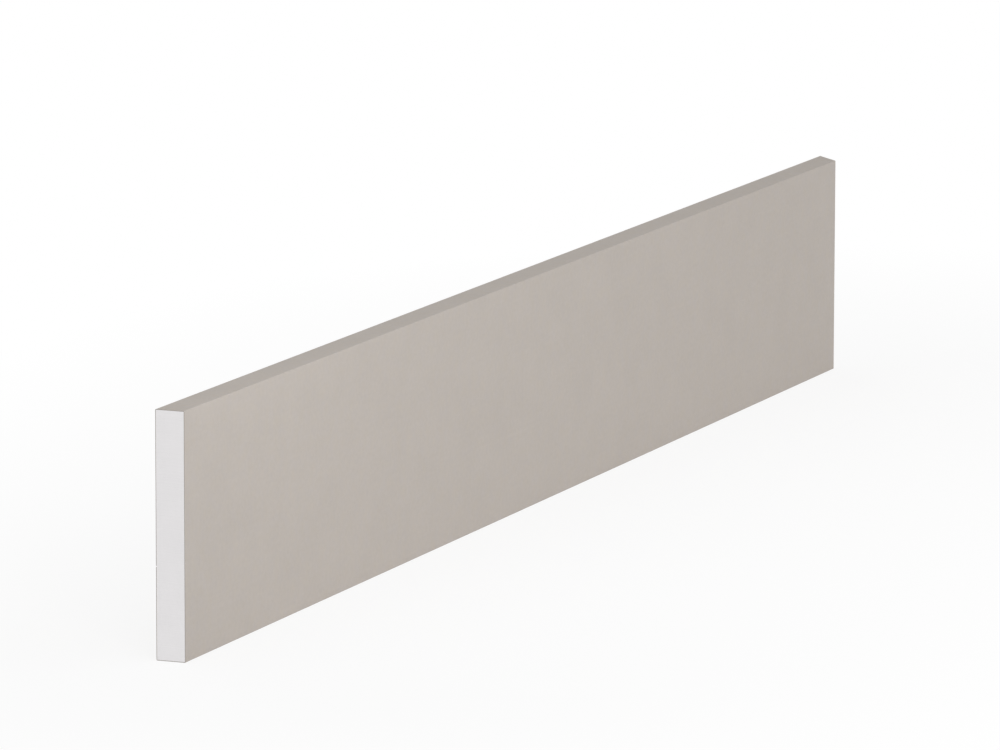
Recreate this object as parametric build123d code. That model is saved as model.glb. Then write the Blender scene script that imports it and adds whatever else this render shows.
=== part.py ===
from build123d import *
import os

# Skirting board, a short square-cut length.
# A rigid light grey core board is wrapped once round its whole section in a thin taupe decor foil.
# The foil's two edges meet in a butt seam on the back, where the wall hides it.
# Both ends are sawn square through foil and core together, so the core shows there.
#
# Frame, in millimetres: the origin is the middle of the edge that stands on the floor.
# +X runs along the board, +Y points at the wall behind it, and +Z points up.
# The face that the room sees looks towards -Y.

# Driving dimensions
LENGTH = 600.0            # from one sawn end to the other
HEIGHT = 80.0             # from the floor to the top edge, over the foil
THICKNESS = 10.0          # from the wall to the front face, over the foil
FOIL_GAUGE = 0.2          # thickness of the decor foil
CORE_ARRIS_RADIUS = 0.1   # slight rounding of the core's four long edges, under the foil
SEAM_HEIGHT = 30.0        # from the floor to the middle of the seam on the back
SEAM_GAP = 0.4            # bare strip of core between the foil's two edges

# Where the finished section lies
MIDDLE_HEIGHT = HEIGHT / 2
BACK_FACE = THICKNESS / 2
CORE_BACK_FACE = BACK_FACE - FOIL_GAUGE

# The foil keeps its gauge round each corner, so its outer arris is larger by that gauge
FOIL_ARRIS_RADIUS = CORE_ARRIS_RADIUS + FOIL_GAUGE


def core_section():
    """The core board's section: the finished section less one foil gauge on every side."""
    core_thickness = THICKNESS - 2 * FOIL_GAUGE
    core_height = HEIGHT - 2 * FOIL_GAUGE
    return RectangleRounded(core_thickness, core_height, CORE_ARRIS_RADIUS)


def finished_section():
    """The finished section, over the foil."""
    return RectangleRounded(THICKNESS, HEIGHT, FOIL_ARRIS_RADIUS)


def seam_section():
    """The strip without foil on the back, cut through the foil's gauge alone."""
    seam = Rectangle(FOIL_GAUGE, SEAM_GAP, align=(Align.MIN, Align.CENTER))
    return Pos(CORE_BACK_FACE, SEAM_HEIGHT - MIDDLE_HEIGHT) * seam


def drawn_along_the_board(section):
    """The section carried over the whole length, half to each side of the origin."""
    sawn_end = Plane(origin=(-LENGTH / 2, 0, MIDDLE_HEIGHT), x_dir=(0, 1, 0), z_dir=(1, 0, 0))
    return extrude(sawn_end * section, amount=LENGTH)


def core_board():
    """The rigid board inside the foil, sawn flush with it at both ends."""
    return drawn_along_the_board(core_section())


def foil_wrap():
    """One sheet of foil folded round all four long edges of the core, open only at its seam."""
    return drawn_along_the_board(finished_section() - core_section() - seam_section())


def write(node, shape):
    """Name the shape after its node and write it."""
    shape.label = node
    export_step(shape, f"parts/{node}.step")


os.makedirs("parts", exist_ok=True)
write("core_board", core_board())
write("foil_wrap", foil_wrap())
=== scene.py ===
import math

import bmesh
import bpy
import numpy as np
from bpy.props import FloatProperty, FloatVectorProperty, PointerProperty
from bpy.types import Operator, Panel, PropertyGroup
from mathutils import Matrix, Vector


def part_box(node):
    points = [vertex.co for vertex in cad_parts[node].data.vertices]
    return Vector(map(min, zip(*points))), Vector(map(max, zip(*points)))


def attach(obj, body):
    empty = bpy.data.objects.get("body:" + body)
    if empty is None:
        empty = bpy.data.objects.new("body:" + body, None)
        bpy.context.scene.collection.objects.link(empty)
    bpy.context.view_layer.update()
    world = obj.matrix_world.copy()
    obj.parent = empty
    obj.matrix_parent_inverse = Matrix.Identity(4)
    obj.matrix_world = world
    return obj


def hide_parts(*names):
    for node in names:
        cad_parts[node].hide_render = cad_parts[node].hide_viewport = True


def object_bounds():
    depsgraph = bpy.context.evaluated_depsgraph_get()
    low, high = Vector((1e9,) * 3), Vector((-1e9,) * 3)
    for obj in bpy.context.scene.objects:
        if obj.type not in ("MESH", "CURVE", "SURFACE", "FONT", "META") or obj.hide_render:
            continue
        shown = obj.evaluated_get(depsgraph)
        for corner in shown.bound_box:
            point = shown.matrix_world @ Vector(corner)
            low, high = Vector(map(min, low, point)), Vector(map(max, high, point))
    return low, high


bl_info = {
    "name": "Foil-wrapped skirting board",
    "version": (1, 0, 0),
    "blender": (4, 5, 0),
    "location": "3D View > Sidebar > Skirting",
    "description": "Dresses a plain skirting board: a taupe decor foil round a light grey core",
    "category": "Add Mesh",
}

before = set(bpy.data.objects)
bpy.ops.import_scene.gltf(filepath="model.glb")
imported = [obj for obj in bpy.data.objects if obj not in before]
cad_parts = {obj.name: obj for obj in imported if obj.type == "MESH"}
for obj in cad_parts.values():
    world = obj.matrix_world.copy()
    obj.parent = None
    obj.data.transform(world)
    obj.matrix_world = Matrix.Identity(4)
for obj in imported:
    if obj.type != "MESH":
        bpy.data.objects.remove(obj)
CAD_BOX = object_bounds()

MM = 0.001
ROOT_BODY = "root"

# Sizes of the board, taken from the frame, in metres
FOIL_LOW, FOIL_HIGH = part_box("foil_wrap")
CORE_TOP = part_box("core_board")[1].z
LENGTH = FOIL_HIGH.x - FOIL_LOW.x
THICKNESS = FOIL_HIGH.y - FOIL_LOW.y
HEIGHT = FOIL_HIGH.z - FOIL_LOW.z
FOIL_GAUGE = FOIL_HIGH.z - CORE_TOP
MIDDLE_HEIGHT = (FOIL_HIGH.z + FOIL_LOW.z) / 2

# Mesh steps: round the foil's flat sides, along foil and core, over the sawn ends, round an arris
FOIL_STEP_ROUND = 2 * MM
FOIL_STEP_ALONG = 4 * MM
CORE_STEP_ALONG = 20 * MM
GRAIN_STEP = 0.25 * MM
ARRIS_STEPS = 8
SHARP_EDGE = math.radians(40)

# Gap that keeps the core's faces from lying in the foil's, and two tolerances
CORE_CLEARANCE = 0.002 * MM
MERGE_DISTANCE = 0.001 * MM
BOX_TOLERANCE = 0.001 * MM

# Draw waves: length along the board, length round it, and phase
DRAW_WAVES = [(0.113, 0.047, 0.4), (0.071, 0.083, 1.7), (0.039, 0.031, 2.9)]

# Saw cut: middle of the blade, cells of the noise in its marks, and each part's share of the depth
BLADE_CENTRE_Y = 0.4 * THICKNESS
SHAKE_CELL = 6 * MM
FINE_CELL = 0.4 * MM
ARC_SHARE = 0.6
FINE_SHARE = 0.4

# Finish: red, green and blue factors of the print's cooler patches, tooth marks and foam cells
COOLER_PATCH = (0.988, 1.0, 1.04)
TOOTH_MARK_SIZE = 0.35 * MM
FOAM_CELL_SIZE = 0.22 * MM

# Floor: its reach, the distances from the board over which it turns white, and its white at the board
FLOOR_REACH = 40.0
WHITE_STARTS = 0.02
WHITE_ENDS = 0.3
WHITE_AT_BOARD = 0.84

# Lamps: where each stands, what it faces, and its length and width
BOARD_MIDDLE = (0.0, 0.0, HEIGHT / 2)
FRONT_LAMP = {"place": (-6.0, -5.055, 2.054), "target": BOARD_MIDDLE, "size": (3.5, 3.5)}
STRIP_LAMP = {"place": (0.021, -0.186, 0.232), "target": (0.139, 0.0, 0.076), "size": (0.8, 0.05)}
BACK_LAMP = {"place": (4.5, 5.6, 0.8), "target": BOARD_MIDDLE, "size": (3.5, 3.5)}

# Camera sensor, in millimetres as Blender has it
SENSOR_WIDTH = 36.0


class SKIRTING_PG_foil(PropertyGroup):
    """Sizes and finish of the decor foil."""

    arris_radius: FloatProperty(
        name="Arris radius",
        description="Outer rounding of the four long edges",
        default=0.3 * MM, min=0.25 * MM, max=2 * MM, precision=5, unit="LENGTH",
    )
    seam_height: FloatProperty(
        name="Seam height",
        description="From the floor to the middle of the butt seam on the back",
        default=30 * MM, precision=4, unit="LENGTH",
    )
    seam_gap: FloatProperty(
        name="Seam gap",
        description="Bare strip between the foil's two edges",
        default=0.4 * MM, precision=5, unit="LENGTH",
    )
    draw_depth: FloatProperty(
        name="Draw wave depth",
        description="How far the extruded board's slow waves dip below the true face",
        default=0.02 * MM, precision=6, unit="LENGTH",
    )
    colour: FloatVectorProperty(
        name="Foil colour",
        description="Taupe of the printed foil",
        default=(0.501, 0.457, 0.412), size=3, min=0.0, max=1.0, subtype="COLOR",
    )
    cut_colour: FloatVectorProperty(
        name="Cut edge colour",
        description="Darker edge of foil and glue line where the saw went through",
        default=(0.34, 0.315, 0.29), size=3, min=0.0, max=1.0, subtype="COLOR",
    )
    roughness: FloatProperty(
        name="Foil roughness",
        description="Satin to matt lacquer of the foil",
        default=0.6, min=0.0, max=1.0, subtype="FACTOR",
    )


class SKIRTING_PG_core(PropertyGroup):
    """Sizes and finish of the core board and of the saw cuts through it."""

    far_mitre: FloatProperty(
        name="Far end mitre",
        description="Angle of the far saw cut from square. It leaves the back longer than the front",
        default=math.radians(45), min=0.0, max=math.radians(60), subtype="ANGLE",
    )
    saw_pitch: FloatProperty(
        name="Saw mark pitch",
        description="Distance between the arcs that the saw blade leaves on the cut ends",
        default=1.1 * MM, precision=5, unit="LENGTH",
    )
    saw_depth: FloatProperty(
        name="Saw mark depth",
        description="Depth of those arcs",
        default=0.006 * MM, precision=6, unit="LENGTH",
    )
    blade_radius: FloatProperty(
        name="Blade radius",
        description="Radius of the saw blade that leaves the arcs",
        default=125 * MM, precision=4, unit="LENGTH",
    )
    colour: FloatVectorProperty(
        name="Core colour",
        description="Light neutral grey of the rigid foam",
        default=(0.765, 0.75, 0.757), size=3, min=0.0, max=1.0, subtype="COLOR",
    )
    roughness: FloatProperty(
        name="Core roughness",
        description="Matt sawn foam",
        default=0.8, min=0.0, max=1.0, subtype="FACTOR",
    )


class SKIRTING_PG_stage(PropertyGroup):
    """Light, floor and camera."""

    sky_level: FloatProperty(
        name="Sky level",
        description="Even light from all round, where 1 shows a white surface as white",
        default=0.632, min=0.0,
    )
    front_power: FloatProperty(
        name="Front lamp power",
        description="Large soft lamp far off, that lights the front and the near end alike",
        default=251.0, min=0.0, unit="POWER",
    )
    strip_power: FloatProperty(
        name="Strip lamp power",
        description="Long strip lamp over the front, closer to the board at its near end",
        default=0.122, min=0.0, unit="POWER",
    )
    back_power: FloatProperty(
        name="Back lamp power",
        description="Large soft lamp far off and low, that fills in the back and the far end",
        default=100.0, min=0.0, unit="POWER",
    )
    floor_colour: FloatVectorProperty(
        name="Floor colour",
        description="Pale studio floor",
        default=(0.93, 0.93, 0.93), size=3, min=0.0, max=1.0, subtype="COLOR",
    )
    azimuth: FloatProperty(
        name="Camera azimuth",
        description="Direction that the board is seen from, 0 looks along +Y",
        default=math.radians(-67.562), subtype="ANGLE",
    )
    elevation: FloatProperty(
        name="Camera elevation",
        description="Angle of the view above the floor",
        default=math.radians(9.807), subtype="ANGLE",
    )
    roll: FloatProperty(
        name="Camera roll",
        description="Turn of the camera about its own axis",
        default=math.radians(0.107), subtype="ANGLE",
    )
    distance: FloatProperty(
        name="Camera distance",
        description="From the point that the camera looks at",
        default=2.705, unit="LENGTH",
    )
    aim: FloatVectorProperty(
        name="Aim",
        description="Point on the front face that the camera looks at",
        default=(-42.7 * MM, -THICKNESS / 2, 50.5 * MM), size=3,
        subtype="TRANSLATION", unit="LENGTH",
    )
    lens: FloatProperty(
        name="Lens",
        description="Focal length in millimetres on a 36 mm wide sensor",
        default=285.3, unit="CAMERA",
    )


# Shapes

def steps_between(breaks, counts):
    """Positions from the first break to the last, counts[i] equal steps after break i."""
    spans = zip(breaks[:-1], breaks[1:], counts)
    steps = [np.linspace(start, stop, count, endpoint=False) for start, stop, count in spans]
    return np.concatenate([*steps, breaks[-1:]])


def with_arrises(flat_counts):
    """Step counts round the section: those of the five flat runs, with one arris between each two."""
    return np.insert(flat_counts, [1, 2, 3, 4], ARRIS_STEPS)


class BoardSection:
    """The core's rounded rectangle as a path in Y and Z, measured by the distance run along it.

    The path starts on the back at start_height, runs up the back, forward over the top, down the front
    and back under the bottom. A point on it is a point of a smaller rectangle, whose corners are the
    centres of the arrises, plus one radius along the normal, and the normal turns only while the
    smaller rectangle stands still at a corner. A surface at a height above the core adds that height
    to the radius.
    """

    def __init__(self, radius, start_height):
        self.radius = radius
        across = THICKNESS / 2 - FOIL_GAUGE - radius
        up = HEIGHT / 2 - FOIL_GAUGE - radius
        arc = radius * math.pi / 2
        first = up - start_height
        last = up + start_height
        runs = [first, arc, 2 * across, arc, 2 * up, arc, 2 * across, arc, last]
        self.breaks = np.concatenate([[0.0], np.cumsum(runs)])
        self.centre_y = across * np.array([1.0, 1, 1, -1, -1, -1, -1, 1, 1, 1])
        self.centre_z = np.array([start_height, up, up, up, up, -up, -up, -up, -up, start_height])
        self.turn = np.radians([0, 0, 90, 90, 180, 180, 270, 270, 360, 360])

    def at(self, run, height):
        """Y, Z of the point at a distance run along the path and a height above the core."""
        turn = np.interp(run, self.breaks, self.turn)
        reach = self.radius + height
        y = np.interp(run, self.breaks, self.centre_y) + reach * np.cos(turn)
        z = np.interp(run, self.breaks, self.centre_z) + reach * np.sin(turn)
        return y, z + MIDDLE_HEIGHT


def draw_waves(x, run, depth):
    """Dip of the slow waves that extrusion leaves, from 0 to depth.

    It is half the depth, raised or lowered by the mean of three products, each of a sine along the
    board and a cosine round it. Their lengths are chosen so that no pattern is seen to repeat.
    """
    total = 0.0
    for along, around, phase in DRAW_WAVES:
        wave_along = np.sin(2 * math.pi * x / along + phase)
        wave_round = np.cos(2 * math.pi * run / around + 2 * phase)
        total = total + wave_along * wave_round
    return depth * (0.5 + total / (2 * len(DRAW_WAVES)))


def eased(share):
    """A share from 0 to 1 that starts and stops gently: three of its squares less two of its cubes."""
    return share * share * (3 - 2 * share)


def lattice_noise(u, v, cell, seed):
    """Smooth noise from 0 to 1: random values on a square lattice of that cell, with eased blends."""
    column = np.floor(u / cell).astype(int)
    row = np.floor(v / cell).astype(int)
    values = np.random.default_rng(seed).random((np.ptp(column) + 2, np.ptp(row) + 2))
    across = eased(u / cell - column)
    up = eased(v / cell - row)
    i = column - column.min()
    j = row - row.min()
    low = values[i, j] * (1 - across) + values[i + 1, j] * across
    high = values[i, j + 1] * (1 - across) + values[i + 1, j + 1] * across
    return low * (1 - up) + high * up


def grid_quads(rows, columns, around):
    """Corner numbers of the quads of a grid of points. If around, the last column joins the first."""
    quads_across = columns if around else columns - 1
    row, column = np.meshgrid(np.arange(rows - 1), np.arange(quads_across), indexing="ij")
    after = (column + 1) % columns
    this_row = row * columns
    next_row = this_row + columns
    corners = [this_row + column, this_row + after, next_row + after, next_row + column]
    return np.stack(corners, -1).reshape(-1, 4)


def piece_from(name, points, quads):
    """A smooth mesh object at the origin from points and quads."""
    mesh = bpy.data.meshes.new(name)
    mesh.from_pydata(points.reshape(-1, 3), [], quads)
    mesh.polygons.foreach_set("use_smooth", np.ones(len(mesh.polygons), bool))
    piece = bpy.data.objects.new(name, mesh)
    bpy.context.scene.collection.objects.link(piece)
    return piece


def surface_map(mesh, name, along, around):
    """A UV map in metres: distance along the board, and distance run round the section."""
    corners = np.empty(len(mesh.loops), int)
    mesh.loops.foreach_get("vertex_index", corners)
    places = np.stack([along[corners], around[corners]], -1)
    layer = mesh.uv_layers.new(name=name)
    layer.uv.foreach_set("vector", places.astype(np.float32).ravel())


def far_cut(y, mitre):
    """X of the far saw cut at y: the full length, less tan(mitre) times the distance from the back."""
    return LENGTH / 2 - (THICKNESS / 2 - y) * math.tan(mitre)


def drawn_out(x, y, mitre):
    """X of a square-ended board's points, moved in proportion until the last lie on the far cut."""
    near = -LENGTH / 2
    return near + (x - near) * (far_cut(y, mitre) - near) / LENGTH


def foil_piece(sizes, mitre):
    """The foil: its outer and inner surface, two seam lips and two sawn ends, as one closed mesh.

    Both surfaces are the section's path at one foil gauge and at zero above the core, less the draw
    waves, carried along the board up to the far cut. The path stops half a seam gap short of the
    middle of the seam on either side.
    """
    section = BoardSection(sizes.arris_radius - FOIL_GAUGE, sizes.seam_height - MIDDLE_HEIGHT)
    breaks = section.breaks.copy()
    breaks[0] += sizes.seam_gap / 2
    breaks[-1] -= sizes.seam_gap / 2
    flat_counts = [max(2, round(flat / FOIL_STEP_ROUND)) for flat in np.diff(breaks)[::2]]
    run = steps_between(breaks, with_arrises(flat_counts))
    x = np.linspace(-LENGTH / 2, LENGTH / 2, round(LENGTH / FOIL_STEP_ALONG) + 1)

    around = np.concatenate([run, run[::-1]])
    height = np.concatenate([np.full(len(run), FOIL_GAUGE), np.zeros(len(run))])
    straight_x, around_grid = np.meshgrid(x, around, indexing="ij")
    dip = draw_waves(straight_x, around_grid, sizes.draw_depth)
    y, z = section.at(around_grid, height - dip)
    cut_x = drawn_out(straight_x, y, mitre)
    points = np.stack([cut_x, y, z], -1)

    rows = len(x)
    columns = len(around)
    walls = grid_quads(rows, columns, around=True)
    outer = np.arange(len(run) - 1)
    inner = columns - 1 - outer
    near_end = np.stack([outer, inner, inner - 1, outer + 1], -1)
    far_end = (near_end + (rows - 1) * columns)[:, ::-1]
    piece = piece_from("decor_foil", points, np.concatenate([walls, near_end, far_end]))
    piece.data.set_sharp_from_angle(angle=SHARP_EDGE)
    surface_map(piece.data, "unrolled", cut_x.ravel() + LENGTH / 2, around_grid.ravel())
    sawn = piece.data.attributes.new("sawn", "FLOAT", "FACE")
    sawn.data.foreach_set("value", np.repeat([0.0, 1.0], [len(walls), 2 * len(near_end)]))
    return piece


def saw_relief(y, z, sizes, seed):
    """Depth of the sawn end behind its plane, measured along the board, from 0 to saw_depth.

    The blade's rim crosses the board as a large circle, and each tooth leaves the next arc, so the
    depth is a cosine of height less the circle's rise, its phase shaken by noise, plus fine noise.
    """
    rise = np.sqrt(sizes.blade_radius ** 2 - (y - BLADE_CENTRE_Y) ** 2)
    shake = lattice_noise(y + seed * MM, z, SHAKE_CELL, seed)
    arcs = 0.5 - 0.5 * np.cos(2 * math.pi * ((z - rise) / sizes.saw_pitch + shake))
    fine = lattice_noise(y, z, FINE_CELL, seed + 1)
    return sizes.saw_depth * (ARC_SHARE * arcs + FINE_SHARE * fine)


def core_piece(sizes, foil_sizes):
    """The core board: its long faces and two sawn ends, as one closed mesh.

    Each row is the section's outline. The first and last rows grow from the board's middle line to
    the outline and make the sawn ends, and the rows between carry the outline along the board up to
    the far cut. Front and back have the same steps, so the halves of an end meet point for point.
    """
    section = BoardSection(foil_sizes.arris_radius - FOIL_GAUGE, 0.0)
    half_side = round(HEIGHT / 2 / GRAIN_STEP)
    half_edge = round(THICKNESS / 2 / GRAIN_STEP)
    flat_counts = [half_side, 2 * half_edge, 2 * half_side, 2 * half_edge, half_side]
    run = steps_between(section.breaks, with_arrises(flat_counts))[:-1]
    y_edge, z_edge = section.at(run, -CORE_CLEARANCE)
    middle_reach = (HEIGHT - THICKNESS) / 2
    z_middle = MIDDLE_HEIGHT + np.clip(z_edge - MIDDLE_HEIGHT, -middle_reach, middle_reach)

    growth = np.linspace(0, 1, half_edge + 1)[:, None]
    end_y = growth * y_edge
    end_z = z_middle + growth * (z_edge - z_middle)
    near_x = -LENGTH / 2 + saw_relief(end_y, end_z, sizes, seed=5)
    far_x = far_cut(end_y, sizes.far_mitre) - saw_relief(end_y, end_z, sizes, seed=9)
    near = np.stack([near_x, end_y, end_z], -1)
    far = np.stack([far_x, end_y, end_z], -1)[::-1]

    x = np.linspace(-LENGTH / 2, LENGTH / 2, round(LENGTH / CORE_STEP_ALONG) + 1)[1:-1]
    straight_x, run_grid = np.meshgrid(x, run, indexing="ij")
    dip = draw_waves(straight_x, run_grid, foil_sizes.draw_depth)
    y, z = section.at(run_grid, -CORE_CLEARANCE - dip)
    sides = np.stack([drawn_out(straight_x, y, sizes.far_mitre), y, z], -1)
    points = np.concatenate([near, sides, far])
    piece = piece_from("sawn_core", points, grid_quads(len(points), len(run), around=True))
    close_middle_lines(piece.data)
    piece.data.set_sharp_from_angle(angle=SHARP_EDGE)
    return piece


def close_middle_lines(mesh):
    """Joins the points of the two sawn ends that meet on the board's middle line."""
    shell = bmesh.new()
    shell.from_mesh(mesh)
    bmesh.ops.remove_doubles(shell, verts=shell.verts, dist=MERGE_DISTANCE)
    shell.to_mesh(mesh)
    shell.free()


# Materials

class NodeBoard:
    """A node tree, with short calls that add a node and join it up."""

    def __init__(self, tree):
        self.tree = tree

    def add(self, kind, **settings):
        """A node of that kind. A setting is an attribute of the node."""
        node = self.tree.nodes.new(kind)
        for key, value in settings.items():
            setattr(node, key, value)
        return node

    def put(self, socket, value):
        """Gives a socket a number or colour, or a link from another node's output."""
        if isinstance(value, bpy.types.NodeSocket):
            self.tree.links.new(value, socket)
        else:
            socket.default_value = value

    def noise(self, vector, size, detail=2.0, roughness=0.5, seed=0.0):
        """Noise from 0 to 1 whose features are about that size in metres."""
        node = self.add("ShaderNodeTexNoise", noise_dimensions="4D")
        self.put(node.inputs["Vector"], vector)
        self.put(node.inputs["W"], seed)
        self.put(node.inputs["Scale"], 1 / size)
        self.put(node.inputs["Detail"], detail)
        self.put(node.inputs["Roughness"], roughness)
        return node.outputs["Fac"]

    def spread(self, value, low, high, from_low=0.3, from_high=0.7):
        """The value's usual range carried to low and high, and held there beyond it."""
        node = self.add("ShaderNodeMapRange")
        for name, number in (("Value", value), ("From Min", from_low), ("From Max", from_high),
                             ("To Min", low), ("To Max", high)):
            self.put(node.inputs[name], number)
        return node.outputs["Result"]

    def maths(self, first, second, operation="ADD"):
        """The sum of two values, or what another operation makes of them."""
        node = self.add("ShaderNodeMath", operation=operation)
        self.put(node.inputs[0], first)
        self.put(node.inputs[1], second)
        return node.outputs[0]

    def stretched(self, vector, scale):
        """The coordinates with each axis multiplied by its scale."""
        node = self.add("ShaderNodeMapping")
        self.put(node.inputs["Vector"], vector)
        self.put(node.inputs["Scale"], scale)
        return node.outputs["Vector"]

    def tinted(self, colour, factor):
        """The colour with its brightness multiplied by a factor."""
        node = self.add("ShaderNodeVectorMath", operation="SCALE")
        self.put(node.inputs[0], colour)
        self.put(node.inputs["Scale"], factor)
        return node.outputs["Vector"]

    def blend(self, factor, first, second):
        """The first colour turned into the second by a factor."""
        node = self.add("ShaderNodeMix", data_type="RGBA")
        self.put(node.inputs["Factor"], factor)
        self.put(node.inputs["A"], self.opaque(first))
        self.put(node.inputs["B"], self.opaque(second))
        return node.outputs["Result"]

    def opaque(self, colour):
        """The colour with an alpha of 1, or a node's output as it is."""
        if isinstance(colour, bpy.types.NodeSocket):
            return colour
        return (*colour, 1.0)

    def bump(self, height, distance, strength, under=None):
        """A bump of that height in metres, laid over another."""
        node = self.add("ShaderNodeBump")
        self.put(node.inputs["Height"], height)
        self.put(node.inputs["Distance"], distance)
        self.put(node.inputs["Strength"], strength)
        if under is not None:
            self.put(node.inputs["Normal"], under)
        return node.outputs["Normal"]


def new_finish(name):
    """A new material with its node board and its shader."""
    material = bpy.data.materials.new(name)
    material.use_nodes = True
    board = NodeBoard(material.node_tree)
    return material, board, board.tree.nodes["Principled BSDF"]


def foil_material(look):
    """Printed decor foil: faint mottle, draw lines and fine stipple, and a darker sawn edge."""
    finish, board, shader = new_finish("taupe_decor_foil")
    surface = board.add("ShaderNodeUVMap", uv_map="unrolled").outputs["UV"]
    lengthwise = board.stretched(surface, (0.03, 1.0, 1.0))
    clouds = board.noise(surface, size=14 * MM, detail=3.0, seed=1.0)
    print_dots = board.noise(surface, size=1.6 * MM, detail=3.0, seed=2.0)
    draw_lines = board.noise(lengthwise, size=0.9 * MM, detail=3.0, seed=3.0)
    patches = board.noise(surface, size=4 * MM, detail=3.0, seed=4.0)
    shade = board.spread(clouds, low=0.986, high=1.014)
    shade = board.maths(shade, board.spread(print_dots, low=-0.022, high=0.022))
    shade = board.maths(shade, board.spread(draw_lines, low=-0.005, high=0.005))
    cooler = [part * factor for part, factor in zip(look.colour, COOLER_PATCH)]
    print_colour = board.blend(board.spread(patches, low=0.0, high=1.0), look.colour, cooler)
    sawn = board.add("ShaderNodeAttribute", attribute_name="sawn").outputs["Fac"]
    colour = board.blend(sawn, board.tinted(print_colour, shade), look.cut_colour)
    board.put(shader.inputs["Base Color"], colour)

    lacquer = board.noise(surface, size=3 * MM, detail=2.0, seed=5.0)
    roughness = board.spread(lacquer, low=look.roughness - 0.04, high=look.roughness + 0.04)
    board.put(shader.inputs["Roughness"], roughness)
    board.put(shader.inputs["Specular IOR Level"], 0.01)
    stipple = board.noise(surface, size=0.3 * MM, detail=2.0, seed=6.0)
    peel = board.noise(surface, size=3.5 * MM, detail=1.0, seed=7.0)
    relief = board.bump(peel, distance=0.008 * MM, strength=0.6)
    relief = board.bump(draw_lines, distance=0.002 * MM, strength=0.5, under=relief)
    relief = board.bump(stipple, distance=0.006 * MM, strength=0.8, under=relief)
    board.put(shader.inputs["Normal"], relief)
    return finish


def core_material(look):
    """Sawn rigid foam: tiny cells and uneven fine arcs from the blade's teeth, with painted shade in
    both.

    The arcs are noise of one value: the height plus the fall of the blade's circle, which is close to
    the squared distance from its middle over twice its radius.
    """
    finish, board, shader = new_finish("light_grey_foam")
    place = board.add("ShaderNodeTexCoord").outputs["Object"]
    axes = board.add("ShaderNodeSeparateXYZ")
    board.put(axes.inputs["Vector"], place)
    off_centre = board.maths(axes.outputs["Y"], BLADE_CENTRE_Y, "SUBTRACT")
    squared = board.maths(off_centre, off_centre, "MULTIPLY")
    fall = board.maths(squared, 1 / (2 * look.blade_radius), "MULTIPLY")
    teeth = board.add("ShaderNodeTexNoise", noise_dimensions="1D")
    board.put(teeth.inputs["W"], board.maths(axes.outputs["Z"], fall))
    board.put(teeth.inputs["Scale"], 1 / TOOTH_MARK_SIZE)
    board.put(teeth.inputs["Detail"], 3.0)
    tooth_marks = teeth.outputs["Fac"]

    cells = board.add("ShaderNodeTexVoronoi", feature="F1")
    board.put(cells.inputs["Vector"], place)
    board.put(cells.inputs["Scale"], 1 / FOAM_CELL_SIZE)
    from_middle = cells.outputs["Distance"]
    cell_mouths = board.spread(from_middle, low=0.0, high=1.0, from_low=0.08, from_high=0.42)
    clouds = board.noise(place, size=7 * MM, detail=3.0, seed=1.0)
    # Painted shade: each cell's hollow middle is coloured up to 3 percent darker, and its rim 1
    # percent lighter.
    painted_pit_shade = board.spread(cell_mouths, low=-0.03, high=0.01, from_low=0.0, from_high=1.0)
    shade = board.spread(clouds, low=0.99, high=1.01)
    # Painted shade and light: the tooth marks colour their hollows darker and their crests lighter, by
    # up to 1.4 percent.
    shade = board.maths(shade, board.spread(tooth_marks, low=-0.014, high=0.014))
    shade = board.maths(shade, painted_pit_shade)
    board.put(shader.inputs["Base Color"], board.tinted(tuple(look.colour), shade))

    roughness = board.spread(tooth_marks, low=look.roughness - 0.05, high=look.roughness + 0.05)
    board.put(shader.inputs["Roughness"], roughness)
    board.put(shader.inputs["Specular IOR Level"], 0.3)
    relief = board.bump(tooth_marks, distance=0.012 * MM, strength=0.7)
    relief = board.bump(cell_mouths, distance=0.02 * MM, strength=0.8, under=relief)
    board.put(shader.inputs["Normal"], relief)
    return finish


def seen_rays(board):
    """1 for the rays that show a background: those from the camera, off gloss and through glass."""
    rays = board.add("ShaderNodeLightPath")
    seen = board.maths(rays.outputs["Is Camera Ray"], rays.outputs["Is Glossy Ray"], "MAXIMUM")
    return board.maths(seen, rays.outputs["Is Transmission Ray"], "MAXIMUM")


def floor_material(colour):
    """Pale matt floor that still takes a shadow, and turns to an even white away from the board.

    The distance is that from the board's line on the floor, and only the rays that show a background
    see the white.
    """
    finish, board, shader = new_finish("pale_studio_floor")
    place = board.add("ShaderNodeTexCoord").outputs["Object"]
    axes = board.add("ShaderNodeSeparateXYZ")
    board.put(axes.inputs["Vector"], place)
    either_way = board.maths(axes.outputs["X"], 0.0, "ABSOLUTE")
    past_end = board.maths(either_way, LENGTH / 2, "SUBTRACT")
    away = board.add("ShaderNodeCombineXYZ")
    board.put(away.inputs["X"], board.maths(past_end, 0.0, "MAXIMUM"))
    board.put(away.inputs["Y"], axes.outputs["Y"])
    distance = board.add("ShaderNodeVectorMath", operation="LENGTH")
    board.put(distance.inputs[0], away.outputs["Vector"])
    whiteness = board.spread(distance.outputs["Value"], low=WHITE_AT_BOARD, high=1.0,
                             from_low=WHITE_STARTS, from_high=WHITE_ENDS)
    grain = board.noise(place, size=40 * MM, detail=3.0)
    shade = board.spread(grain, low=0.995, high=1.005)
    board.put(shader.inputs["Base Color"], board.tinted(tuple(colour), shade))
    board.put(shader.inputs["Roughness"], 0.9)
    board.put(shader.inputs["Specular IOR Level"], 0.0)
    white = board.add("ShaderNodeEmission")
    mixed = board.add("ShaderNodeMixShader")
    board.put(mixed.inputs["Fac"], board.maths(seen_rays(board), whiteness, "MULTIPLY"))
    board.put(mixed.inputs[1], shader.outputs["BSDF"])
    board.put(mixed.inputs[2], white.outputs["Emission"])
    board.put(board.tree.nodes["Material Output"].inputs["Surface"], mixed.outputs["Shader"])
    return finish


# Stage

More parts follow.
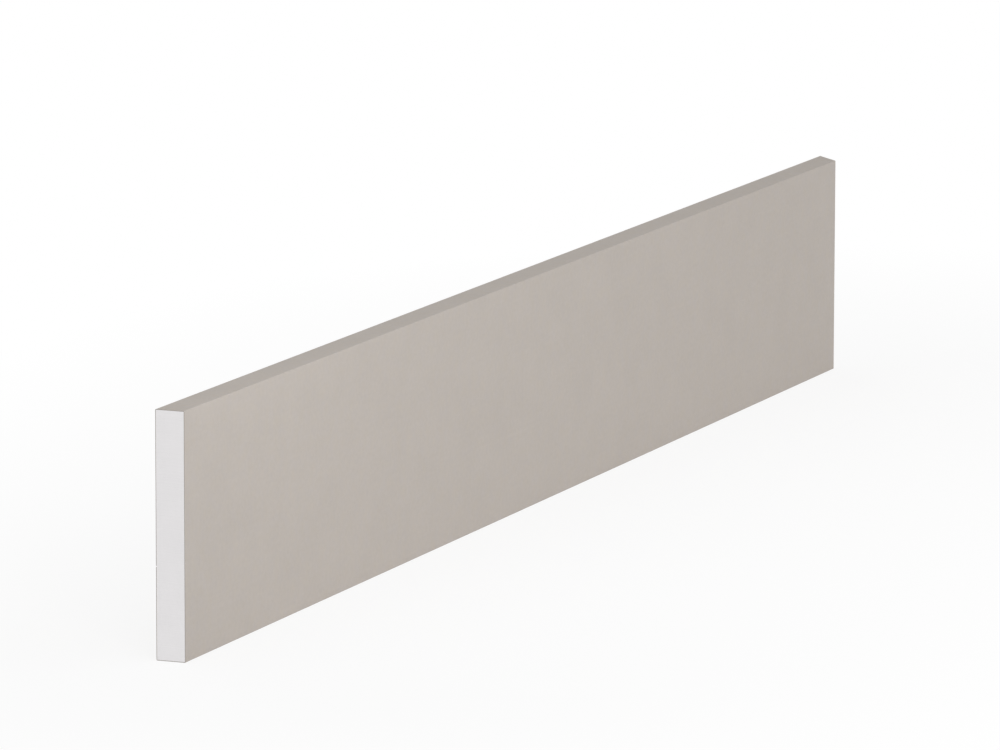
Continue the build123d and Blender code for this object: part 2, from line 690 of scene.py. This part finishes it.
def floor_piece(colour):
    """A square of floor under the board, as a grid of four quads."""
    side = np.linspace(-FLOOR_REACH, FLOOR_REACH, 3)
    x, y = np.meshgrid(side, side)
    points = np.stack([x, y, np.zeros_like(x)], -1)
    quads = grid_quads(len(side), len(side), around=False)
    floor = piece_from("studio_floor", points, quads)
    floor.data.materials.append(floor_material(colour))


def sky(level):
    """World light: an even level on the board, and plain white where the background is seen."""
    world = bpy.data.worlds.new("studio_sky")
    world.use_nodes = True
    bpy.context.scene.world = world
    board = NodeBoard(world.node_tree)
    board.tree.nodes.clear()
    even = board.add("ShaderNodeBackground")
    board.put(even.inputs["Color"], (1, 1, 1, 1))
    board.put(even.inputs["Strength"], level)
    white = board.add("ShaderNodeBackground")
    board.put(white.inputs["Color"], (1, 1, 1, 1))
    mixed = board.add("ShaderNodeMixShader")
    board.put(mixed.inputs["Fac"], seen_rays(board))
    board.put(mixed.inputs[1], even.outputs["Background"])
    board.put(mixed.inputs[2], white.outputs["Background"])
    output = board.add("ShaderNodeOutputWorld")
    board.put(output.inputs["Surface"], mixed.outputs["Shader"])


def turn_to(item, right, up, back):
    """Turns a lamp or camera so that its own three axes lie along right, up and back."""
    item.rotation_mode = "QUATERNION"
    item.rotation_quaternion = Matrix((right, up, back)).transposed().to_quaternion()


def soft_lamp(name, place, target, size, power):
    """A soft lamp of that length and width, along the board, facing the target, hidden from camera."""
    back = (Vector(place) - Vector(target)).normalized()
    along = (Vector((1, 0, 0)) - back * back.x).normalized()
    data = bpy.data.lights.new(name, "AREA")
    data.shape = "RECTANGLE"
    data.size, data.size_y = size
    data.energy = power
    lamp = bpy.data.objects.new(name, data)
    turn_to(lamp, along, back.cross(along), back)
    lamp.location = place
    lamp.visible_camera = False
    bpy.context.scene.collection.objects.link(lamp)


def aimed_camera(stage):
    """The camera that sees the board as it is pictured."""
    right = Vector((math.cos(stage.azimuth), math.sin(stage.azimuth), 0))
    level_back = Vector((math.sin(stage.azimuth), -math.cos(stage.azimuth), 0))
    back = level_back * math.cos(stage.elevation) + Vector((0, 0, math.sin(stage.elevation)))
    up = back.cross(right)
    rolled_right = right * math.cos(stage.roll) + up * math.sin(stage.roll)
    rolled_up = up * math.cos(stage.roll) - right * math.sin(stage.roll)
    data = bpy.data.cameras.new("camera")
    data.sensor_width = SENSOR_WIDTH
    data.lens = stage.lens
    data.clip_end = 2 * FLOOR_REACH
    camera = bpy.data.objects.new("camera", data)
    turn_to(camera, rolled_right, rolled_up, back)
    camera.location = Vector(stage.aim) + back * stage.distance
    bpy.context.scene.collection.objects.link(camera)
    bpy.context.scene.camera = camera


# Operators

def settle(piece, node, material):
    """Gives the piece its finish and its place in the frame. It may not stand out of the CAD box."""
    piece.data.materials.append(material)
    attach(piece, ROOT_BODY)
    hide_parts(node)
    points = np.empty(len(piece.data.vertices) * 3, np.float32)
    piece.data.vertices.foreach_get("co", points)
    points = points.reshape(-1, 3)
    low, high = np.array(CAD_BOX)
    if (points < low - BOX_TOLERANCE).any() or (points > high + BOX_TOLERANCE).any():
        raise RuntimeError(f"{piece.name} stands out of the board's box")


class SKIRTING_OT_wrap_foil(Operator):
    """Wrap the decor foil round the board"""

    bl_idname = "skirting.wrap_foil"
    bl_label = "Wrap the foil"

    def execute(self, context):
        look = context.scene.skirting_foil
        piece = foil_piece(look, context.scene.skirting_core.far_mitre)
        settle(piece, "foil_wrap", foil_material(look))
        return {"FINISHED"}


class SKIRTING_OT_saw_core(Operator):
    """Make the core board with its two sawn ends"""

    bl_idname = "skirting.saw_core"
    bl_label = "Saw the core board"

    def execute(self, context):
        look = context.scene.skirting_core
        piece = core_piece(look, context.scene.skirting_foil)
        settle(piece, "core_board", core_material(look))
        return {"FINISHED"}


class SKIRTING_OT_set_stage(Operator):
    """Set up the floor, the light and the camera"""

    bl_idname = "skirting.set_stage"
    bl_label = "Set the stage"

    def execute(self, context):
        stage = context.scene.skirting_stage
        floor_piece(stage.floor_colour)
        sky(stage.sky_level)
        soft_lamp("front_lamp", **FRONT_LAMP, power=stage.front_power)
        soft_lamp("strip_lamp", **STRIP_LAMP, power=stage.strip_power)
        soft_lamp("back_lamp", **BACK_LAMP, power=stage.back_power)
        aimed_camera(stage)
        context.scene.view_settings.view_transform = "Standard"
        return {"FINISHED"}


class SKIRTING_PT_board(Panel):
    """Sidebar panel with the board's pieces and its stage."""

    bl_idname = "SKIRTING_PT_board"
    bl_label = "Skirting board"
    bl_space_type = "VIEW_3D"
    bl_region_type = "UI"
    bl_category = "Skirting"

    def draw(self, context):
        for name, settings, operator in STEPS:
            box = self.layout.box()
            for setting in settings.__annotations__:
                box.prop(getattr(context.scene, name), setting)
            box.operator(operator.bl_idname)


# One row for each step: its settings' name in the scene, their class, and its operator
STEPS = [
    ("skirting_foil", SKIRTING_PG_foil, SKIRTING_OT_wrap_foil),
    ("skirting_core", SKIRTING_PG_core, SKIRTING_OT_saw_core),
    ("skirting_stage", SKIRTING_PG_stage, SKIRTING_OT_set_stage),
]


def register():
    """Makes the settings, operators and panel known to Blender."""
    for name, settings, operator in STEPS:
        bpy.utils.register_class(settings)
        bpy.utils.register_class(operator)
        setattr(bpy.types.Scene, name, PointerProperty(type=settings))
    bpy.utils.register_class(SKIRTING_PT_board)


def unregister():
    """Takes them out again, in the opposite order."""
    bpy.utils.unregister_class(SKIRTING_PT_board)
    for name, settings, operator in reversed(STEPS):
        delattr(bpy.types.Scene, name)
        bpy.utils.unregister_class(operator)
        bpy.utils.unregister_class(settings)


def main():
    """Registers the add-on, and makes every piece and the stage."""
    register()
    bpy.ops.skirting.wrap_foil()
    bpy.ops.skirting.saw_core()
    bpy.ops.skirting.set_stage()


if __name__ == "__main__":
    main()
